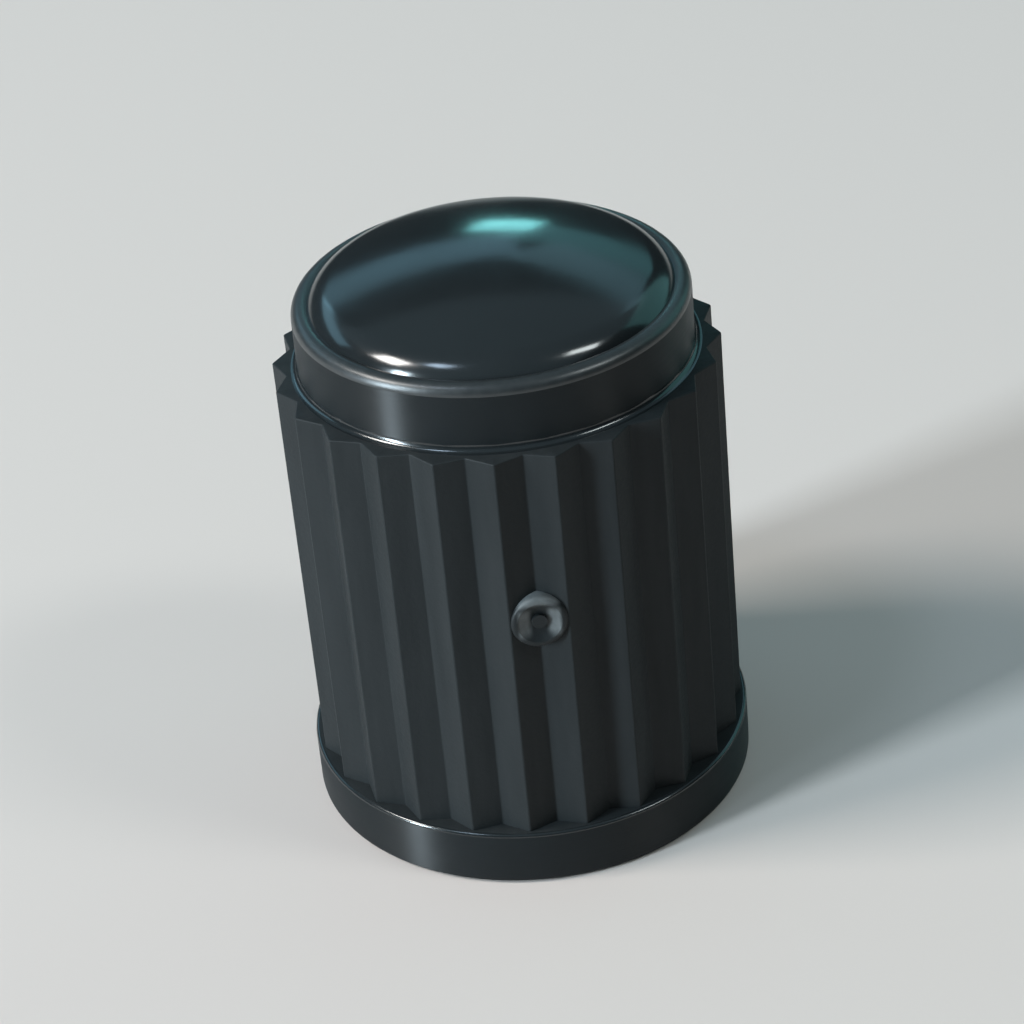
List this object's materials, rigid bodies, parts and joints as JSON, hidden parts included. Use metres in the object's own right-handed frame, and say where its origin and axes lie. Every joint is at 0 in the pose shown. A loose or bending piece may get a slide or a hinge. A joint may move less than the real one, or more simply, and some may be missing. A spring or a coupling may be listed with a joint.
{
  "type": "tyre valve cap",
  "caption": "Round black plastic cap that screws onto a tyre valve stem, with V-shaped finger ribs, a plain flange band at its open end and a shallow domed top.",
  "frame": {"origin": "middle of the open mouth, on the surface that the cap stands on", "axes": "+Z along the cap's axis from the mouth to the dome, +X through the crest of a rib"},
  "size_m": [0.0104, 0.0104, 0.0137],
  "materials": {
    "black_plastic": "moulded black plastic, glossy on the dome and satin on the ribs"
  },
  "bodies": {
    "root": {"valve_cap": "black_plastic"}
  },
  "joints": []
}
